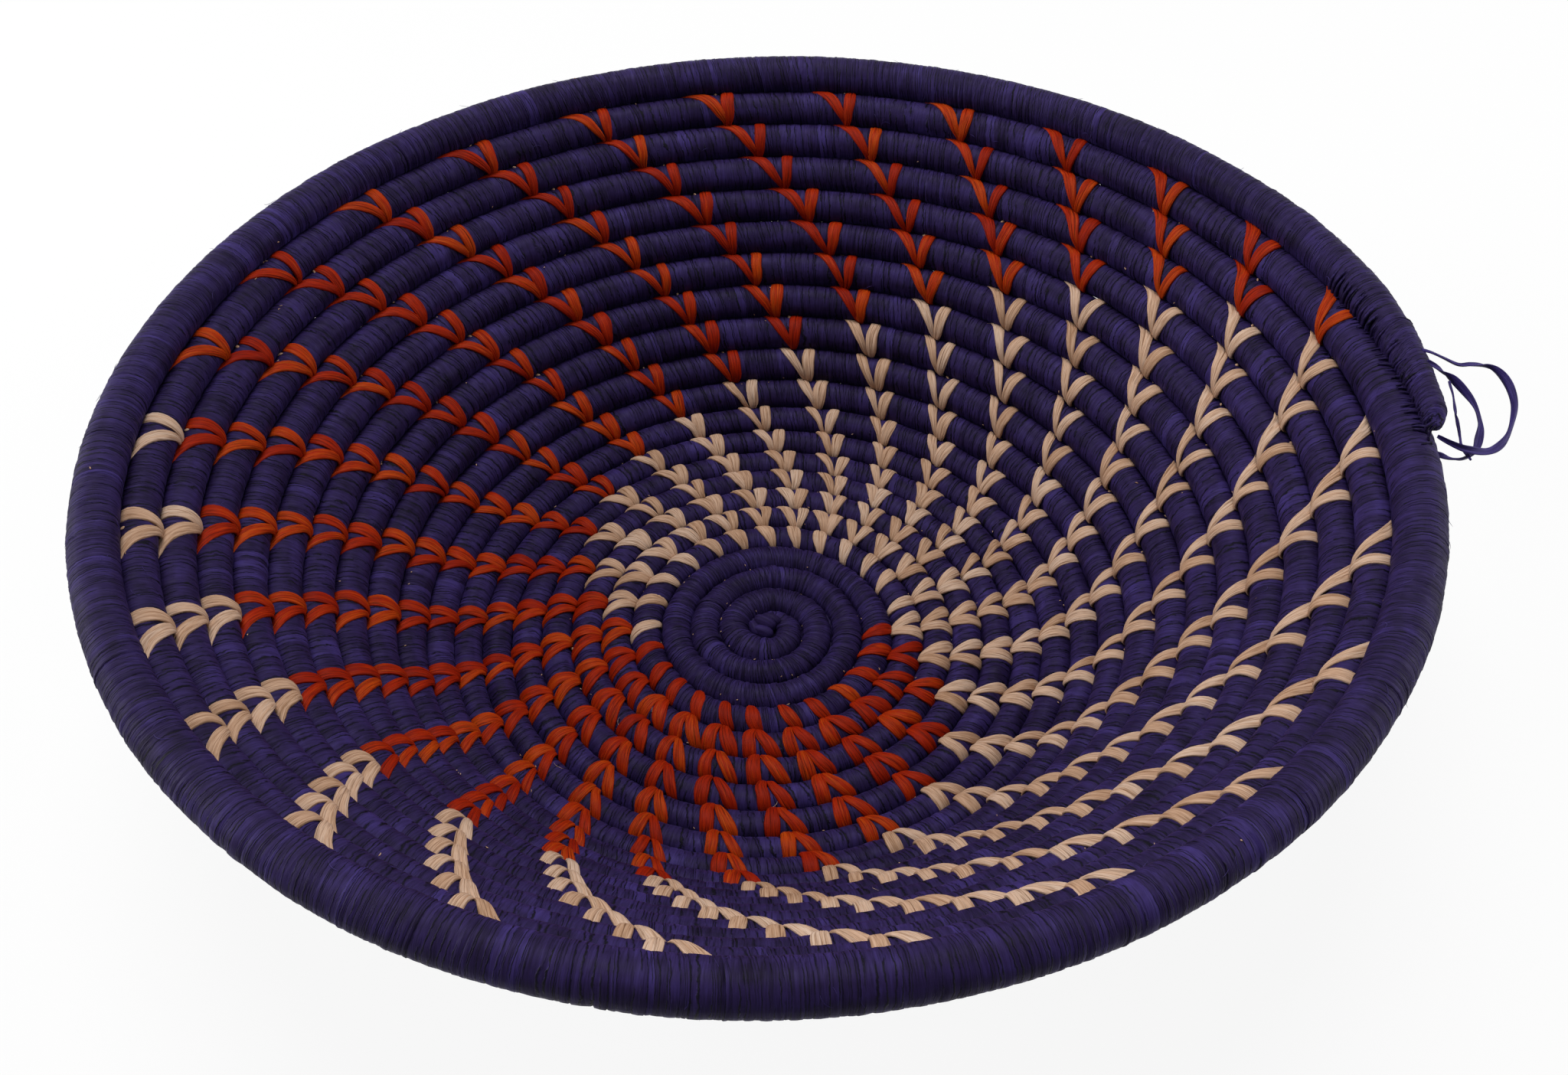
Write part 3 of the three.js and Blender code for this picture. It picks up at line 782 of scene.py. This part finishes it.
def make_end_sewing():
    """Strands sewn over the crevice between the coil's end and the turn that it lies on."""
    parts = MeshParts()
    local = np.random.default_rng(SEWING_SEED)
    for place in np.linspace(SEWN_TURNS, SEWN_PAST_END, SEWN_STRANDS):
        turn = LAST_TURN - place + local.normal(0, SEWN_PLACE_SPREAD)
        slant = local.normal(SEWN_SLANT, SEWN_SLANT)
        rise = local.uniform(*SEWN_RISES)
        above = np.radians(local.uniform(*SEWN_OVER_FROM) - np.linspace(0, SEWN_OVER, OVER_SAMPLES))
        under_last = SEWN_UNDER_FROM - local.uniform(*SEWN_UNDER)
        below = np.radians(np.linspace(SEWN_UNDER_FROM, under_last, UNDER_SAMPLES))
        over_turns = np.linspace(turn, turn + slant / 2, OVER_SAMPLES)
        under_turns = np.linspace(turn + slant / 2, turn + slant, UNDER_SAMPLES) - 1
        outer = coil_point(over_turns, above, np.full(OVER_SAMPLES, rise))
        inner = coil_point(under_turns, below, np.full(UNDER_SAMPLES, rise * UNDER_RISE))
        line = catmull_rom(np.vstack([outer, inner]), SEWN_SAMPLES)
        rings = hair_rings(line, local.uniform(*SEWN_RADII), SEWN_SIDES)
        run = np.linspace(0, 9, SEWN_SAMPLES)
        round_strand = 1.5 * np.cos(np.arange(SEWN_SIDES))
        fibre = np.stack(np.broadcast_arrays(run[:, None], round_strand[None, :], 7 * place), -1)
        # Each sewn strand mixes in a random share of the dark crack colour
        parts.add_tube(rings, fibre=fibre, crack=local.uniform(0, 0.45), wrap=local.uniform(0, 90))
    sewing = parts.make("end_sewing", INDIGO)
    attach(sewing, "root")


# The lobes of the bud at the centre: where each starts and ends, and how thick it is
BUD_LOBES = (((-3.1, 2.1), (1.3, -0.6), 1.8), ((-0.9, 3.3), (2.6, 0.9), 1.6),
             ((-3.3, -0.6), (0.5, -2.7), 1.6), ((-4.2, 1.7), (-2.6, -1.9), 1.5))
LOBE_SIDES, LOBE_RINGS = 14, 15
LOBE_HEIGHT, LOBE_STEP, LOBE_ARCH = 5.3, 0.35, 0.9
LOBE_RIDGE, LOBE_RIDGES, LOBE_TALLNESS = 0.07, 5, 1.5
# The low core under the first turns
CORE_RADIUS, CORE_BASE, CORE_THICKNESS = 27, 1.8, 2.6
CORE_SIDES, CORE_RINGS = 28, 12
CORE_ROUNDNESS, CORE_RIPPLE = 0.25, 0.05


def make_centre_bud():
    """The folded start of the coil, with short rounded lobes, on a low core that closes the spiral."""
    parts = MeshParts()
    angle = np.arange(LOBE_SIDES) / LOBE_SIDES * TAU
    for place, ((x0, y0), (x1, y1), thick) in enumerate(BUD_LOBES):
        share = np.linspace(0, 1, LOBE_RINGS)
        arch = LOBE_HEIGHT - LOBE_STEP * place + LOBE_ARCH * np.sin(math.pi * share)
        line = np.stack([lerp(x0, x1, share), lerp(y0, y1, share), arch], 1)
        side, up = across_line(line, UPWARD)
        full = thick * np.sqrt(np.clip(1 - (2 * share - 1) ** 4, 0.01, 1))
        ridge = 1 + LOBE_RIDGE * np.sin(LOBE_RIDGES * angle + place)
        flat = (np.cos(angle) * ridge)[None, :, None] * side[:, None]
        tall = (LOBE_TALLNESS * np.sin(angle) * ridge)[None, :, None] * up[:, None]
        points = line[:, None, :] + full[:, None, None] * (flat + tall)
        fibre = np.stack(np.broadcast_arrays(4 * angle, share[:, None] * 4 + place * 9, 0.0), -1)
        parts.add_tube(points, fibre=fibre, crack=0.0, wrap=place + 0.5)
    round_angle = np.arange(CORE_SIDES) / CORE_SIDES * TAU
    share = np.linspace(0.02, 0.98, CORE_RINGS)
    core_radius = CORE_RADIUS * np.sin(math.pi * share) ** CORE_ROUNDNESS
    core_height = CORE_BASE + CORE_THICKNESS * share
    ripple = 1 + CORE_RIPPLE * np.sin(7 * round_angle)[None, :] * np.sin(9 * share)[:, None]
    core = np.stack(np.broadcast_arrays(core_radius[:, None] * ripple * np.cos(round_angle),
                                        core_radius[:, None] * ripple * np.sin(round_angle),
                                        core_height[:, None]), -1)
    core_fibre = np.stack(np.broadcast_arrays(9 * round_angle, 6 * share[:, None], 0.0), -1)
    # The core mixes in part of the dark crack colour as painted shade under the first turns
    parts.add_tube(core, fibre=core_fibre, crack=0.35, wrap=9.5)
    bud = parts.make("centre_bud", INDIGO)
    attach(bud, "root")


make_coil()
make_whipping()
make_end_sewing()
make_centre_bud()


# Forked stitches

# The gaps between a leg's fibres: their random depth and its limits, their waves along the leg, their
# depth in the leg's thickness, and how much painted shade the leg gets at its edges and underside
GAP_SPREAD, GAP_LIMITS, GAP_WAVES = (0.8, 0.5), (0.05, 1), (3, 7)
GAP_DEPTH, EDGE_SHADED_GAP, UNDERSIDE_PAINTED_SHADE = 0.55, 0.2, 0.6
# A leg's thickness at its edge and how much more it has on top, the width that has it in full, how it
# sways, its underside's share of the width, and its least height over the floor
LEG_EDGE, LEG_TOP, FULL_LEG = 0.1, 0.9, 2.0
LEG_SWAY, LEG_SWAYS = 0.05, 9
UNDERSIDE_SHARE = 0.6
LEG_HEIGHT = 0.02


def stitch_turn(number):
    level = number / STITCHES_PER_TURN
    arm_angle = TAU * (number - 1) / STITCHES_PER_TURN
    drift = WANDER * np.cos(arm_angle - WANDER_FROM)
    second_drift = WANDER_TWICE * np.cos(2 * arm_angle - WANDER_TWICE_FROM - WANDER_TWICE_TURNING * level)
    lean = ARM_LEAN * level + ARM_BEND * level ** 2
    return FIRST_STITCH + level + (drift + second_drift - lean) / TAU


def is_orange(number):
    return number % (STITCHES_PER_TURN + 1) < ORANGE_STITCHES


def add_leg(parts, turn, route, widths, fibres, local, stations=15):
    """A ribbon of fibres on the coil, through places along it, angles round it in degrees, and lifts."""
    line = catmull_rom([(x, math.radians(a) * ROUND_ARC, lift) for x, a, lift in route], stations)
    reach = axis_distance(turn)
    share = np.linspace(0, 1, stations)
    width = np.interp(share, np.linspace(0, 1, len(widths)), widths)
    along = np.gradient(line[:, :2], axis=0)
    along /= np.linalg.norm(along, axis=1)[:, None]
    normal = np.stack([along[:, 1], -along[:, 0]], 1)
    top = 3 * fibres + 1
    v = np.linspace(-1, 1, top)
    crown = np.sqrt(np.maximum(1 - np.abs(v) ** LEG_CROWN, 0))
    valley = np.where(np.arange(top) % 3 == 0, 1.0, 0.0)
    cut = np.clip(local.gamma(*GAP_SPREAD, fibres + 1), *GAP_LIMITS)
    waves, first_wave = local.uniform(*GAP_WAVES), local.uniform(0, 6)
    fade = 0.5 + 0.5 * np.sin(share[:, None] * waves + np.arange(top)[None, :] + first_wave)
    gap = (np.repeat(cut, 3)[:top] * valley)[None, :] * fade
    gap[:, 0] = gap[:, -1] = EDGE_SHADED_GAP
    thick = LEG_THICKNESS * np.minimum(1, width / FULL_LEG)
    lift = thick[:, None] * ((LEG_EDGE + LEG_TOP * crown)[None, :] - GAP_DEPTH * gap)
    sway = LEG_SWAY * np.sin(share[:, None] * LEG_SWAYS + local.uniform(0, 6) + 5 * v[None, :])
    below = np.array([UNDERSIDE_SHARE, -UNDERSIDE_SHARE])
    across = np.hstack([v[None, :] + sway, np.broadcast_to(below, (stations, 2))])
    x, y = (line[:, axis, None] + normal[:, axis, None] * across * width[:, None] / 2 for axis in (0, 1))
    underside = np.broadcast_to(line[:, 2, None] - LEG_SINK, (stations, 2))
    h = np.hstack([line[:, 2, None] + lift, underside])
    points = coil_point(turn + x / (TAU * reach), y / ROUND_ARC, h)
    points[..., 2] = np.maximum(points[..., 2], LEG_HEIGHT)
    run = run_along(line[:, :2])
    side = LEG_GRAIN * np.concatenate([v, below])[None, :]
    fibre = np.stack(np.broadcast_arrays(side, run[:, None], local.uniform(0, 90)), -1)
    # Painted shade on the underside, added to that of the gaps and edges
    gap = np.hstack([gap, np.full((stations, 2), UNDERSIDE_PAINTED_SHADE)])
    parts.add_tube(points, flip=True, fibre=fibre, gap=gap, leg=local.uniform(0, 1))


def at_level(turn, rows):
    """Values between the rows that belong to the stitch levels."""
    return [float(np.interp(turn, STITCH_LEVELS, column)) for column in zip(*rows)]


def add_stitch(parts, number):
    """One forked stitch: its left and right legs over the inside, and the band that holds them outside."""
    local = np.random.default_rng(STITCH_SEED + number)
    turn = float(stitch_turn(number))
    next_turn = float(stitch_turn(number + STITCHES_PER_TURN)) - 1
    reach = (next_turn - turn) * TAU * axis_distance(turn)
    size = local.uniform(*STITCH_SIZES)
    if number < STITCHES_PER_TURN:
        bow = np.cumsum(local.normal(0, LEAF_CROOK, len(LEAF_ANGLES)))
        route = list(zip(np.array(LEAF_PLACES) + bow - bow[0], LEAF_ANGLES, LEAF_LIFTS))
        add_leg(parts, turn, route, size * np.array(LEAF_WIDTHS), LEAF_FIBRES, local)
    else:
        for angles, places, widths, lifts in ((LEFT_ANGLES, LEFT_PLACES, LEFT_WIDTHS, LEFT_LIFTS),
                                              (RIGHT_ANGLES, RIGHT_PLACES, RIGHT_WIDTHS, RIGHT_LIFTS)):
            bow = np.cumsum(local.normal(0, LEG_CROOK, len(angles)))
            route = list(zip(np.array(at_level(turn, places)) + bow - bow[0], angles, lifts))
            wide = size * np.array(at_level(turn, widths))
            add_leg(parts, turn, route, wide, LEG_FIBRES, local, LEG_STATIONS)
    band = [(share * reach + further, angle, lift) for share, further, angle, lift in BAND_ROUTE]
    add_leg(parts, turn, band, BAND_WIDTHS, BAND_FIBRES, local)


def make_stitches():
    for arm in range(STITCHES_PER_TURN):
        runs = []
        for number in range(arm, STITCH_COUNT, STITCHES_PER_TURN):
            if runs and is_orange(runs[-1][0]) == is_orange(number):
                runs[-1].append(number)
            else:
                runs.append([number])
        for place, numbers in enumerate(runs):
            colour = "orange" if is_orange(numbers[0]) else "cream"
            label = f"{arm + 1:02d}_{'abcdef'[place]}_{colour}"
            parts = MeshParts()
            for number in numbers:
                add_stitch(parts, number)
            made = parts.make(f"stitches_{label}", ORANGE if colour == "orange" else CREAM)
            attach(made, "root")
            if f"arm_{label}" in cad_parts:
                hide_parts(f"arm_{label}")


make_stitches()


# Loose fibres, and specks of the pale core in the forks

HAIR_ARC = 4.6


def surface_hair(turn, angle, length, heading, bend, lift, rise, points=9):
    """A hair that lies on the coil from a place on it, along a heading, and may rise at its far end."""
    share = np.linspace(0, 1, points)
    reach = axis_distance(turn)
    direction = heading + bend * share
    step = length / (points - 1)
    x = np.r_[0, np.cumsum(np.cos(direction[1:]) * step)]
    y = np.r_[0, np.cumsum(np.sin(direction[1:]) * step)]
    return coil_point(turn + x / (TAU * reach), angle + y / HAIR_ARC, lift + rise * share ** 2)


def make_loose_fibres():
    local = np.random.default_rng(HAIR_SEED)
    indigo, pale = MeshParts(), MeshParts()
    for _ in range(HAIR_COUNT):
        turn = FIRST_TURN + (LAST_TURN - 0.1 - FIRST_TURN) * math.sqrt(local.uniform())
        if local.uniform() < RIM_HAIR_SHARE:
            turn = local.uniform(RIM_TURN - 0.6, LAST_TURN - 0.05)
        angle = local.uniform(-1.2, 1.9)
        heading = math.pi / 2 + local.normal(0, 0.5)
        line = surface_hair(turn, angle, local.uniform(*HAIR_LENGTHS), heading, local.normal(0, 1.2), 0.12,
                            abs(local.normal(0, 0.4)))
        parts = indigo if turn > RIM_TURN - 1 or local.uniform() < INDIGO_HAIR_SHARE else pale
        run = np.linspace(0, 5, len(line))
        fibre = np.stack(np.broadcast_arrays(0.0, run[:, None], local.uniform(0, 90)), -1)
        rings = hair_rings(line, local.uniform(*HAIR_RADII))
        parts.add_tube(rings, fibre=np.broadcast_to(fibre, rings.shape), gap=0.0, leg=0.9)
    for _ in range(TUFT_COUNT):
        turn = local.uniform(1.0, LAST_TURN - 0.3)
        angle = local.choice([-1, 1]) * local.uniform(0.7, 1.2)
        line = surface_hair(turn, angle, local.uniform(*TUFT_LENGTHS), local.uniform(0, TAU),
                            1.0, 0.1, 0.1, 5)
        grain = np.array([0.0, 0.0, local.uniform(0, 90)])
        rings = hair_rings(line, local.uniform(*TUFT_RADII))
        pale.add_tube(rings, fibre=np.broadcast_to(grain, rings.shape), gap=0.0, leg=0.3)
    for name, parts, material, slot in (("loose_indigo_hairs", indigo, STRIP, "coil_fibre"),
                                        ("loose_pale_hairs", pale, CREAM, "stitch_cream")):
        made = parts.make(name, material)
        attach(made, "root")


def make_core_specks():
    """Bits of the pale grass core that show at the top of some forks."""
    local = np.random.default_rng(SPECK_SEED)
    parts = MeshParts()
    for number in range(STITCHES_PER_TURN, STITCH_COUNT):
        if local.uniform() > SPECK_SHARE:
            continue
        turn = float(stitch_turn(number))
        reach = axis_distance(turn)
        place = turn + local.uniform(-3.2, -1.6) / (TAU * reach)
        line = surface_hair(place, math.radians(local.uniform(58, 72)), local.uniform(*SPECK_LENGTHS),
                            math.pi / 2 + local.normal(0, 0.5), 0.2, -0.05, 0.3, 5)
        grain = np.array([0.0, 0.0, local.uniform(0, 90)])
        rings = hair_rings(line, local.uniform(*SPECK_RADII), 7)
        parts.add_tube(rings, fibre=np.broadcast_to(grain, rings.shape), gap=0.0, leg=0.2)
    made = parts.make("core_specks", CREAM)
    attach(made, "root")


make_loose_fibres()
make_core_specks()


# Floor, light and world

def seen_directly(tree):
    """One for camera, glossy and transmission rays, and nothing for the rays that light the bowl."""
    path = tree.nodes.new("ShaderNodeLightPath")
    seen = path.outputs["Is Camera Ray"]
    for ray in ("Is Glossy Ray", "Is Transmission Ray"):
        either = tree.nodes.new("ShaderNodeMath")
        either.operation = "MAXIMUM"
        tree.links.new(seen, either.inputs[0])
        tree.links.new(path.outputs[ray], either.inputs[1])
        seen = either.outputs[0]
    return seen


def make_stage():
    """A white floor that shows nearly white to the camera and keeps the bowl's soft shadow."""
    material, shader = new_material("pale floor")
    tree = material.node_tree
    shader.inputs["Roughness"].default_value = FLOOR_ROUGHNESS
    shader.inputs["Specular IOR Level"].default_value = FLOOR_SPECULAR
    glow = tree.nodes.new("ShaderNodeEmission")
    seen = seen_directly(tree)
    shade = tree.nodes.new("ShaderNodeMapRange")
    shade.inputs["To Min"].default_value, shade.inputs["To Max"].default_value = FLOOR_BOUNCE, FLOOR_SEEN
    tree.links.new(seen, shade.inputs["Value"])
    tree.links.new(shade.outputs["Result"], shader.inputs["Base Color"])
    share = tree.nodes.new("ShaderNodeMath")
    share.operation = "MULTIPLY"
    share.inputs[1].default_value = FLOOR_GLOW
    tree.links.new(seen, share.inputs[0])
    mix = tree.nodes.new("ShaderNodeMixShader")
    tree.links.new(share.outputs[0], mix.inputs[0])
    tree.links.new(shader.outputs["BSDF"], mix.inputs[1])
    tree.links.new(glow.outputs["Emission"], mix.inputs[2])
    out = next(node for node in tree.nodes if node.type == "OUTPUT_MATERIAL")
    tree.links.new(mix.outputs["Shader"], out.inputs["Surface"])
    parts = MeshParts()
    ring = FLOOR_HALF * np.array([(-1, -1), (1, -1), (1, 1), (-1, 1)])
    rings = np.stack([np.c_[ring, np.full(4, z)] for z in (-FLOOR_THICKNESS, -FLOOR_DROP)])
    parts.add_tube(rings)
    floor = parts.make("floor", material)
    for polygon in floor.data.polygons:
        polygon.use_smooth = False


def area_light(name, place, target, size, watts):
    data = bpy.data.lights.new(name, "AREA")
    data.shape, data.size, data.energy = "DISK", size, watts
    light = bpy.data.objects.new(name, data)
    bpy.context.collection.objects.link(light)
    light.location = place
    light.rotation_euler = (Vector(target) - Vector(place)).to_track_quat("-Z", "Y").to_euler()


def make_light():
    for light in LIGHTS:
        area_light(*light)
    world = bpy.data.worlds.new("studio")
    bpy.context.scene.world = world
    world.use_nodes = True
    tree = world.node_tree
    background = tree.nodes["Background"]
    background.inputs["Color"].default_value = (1, 1, 1, 1)
    strength = tree.nodes.new("ShaderNodeMapRange")
    strength.inputs["To Min"].default_value = WORLD_LIGHT
    tree.links.new(seen_directly(tree), strength.inputs["Value"])
    tree.links.new(strength.outputs["Result"], background.inputs["Strength"])


make_stage()
make_light()
bpy.context.scene.view_settings.view_transform = "Standard"
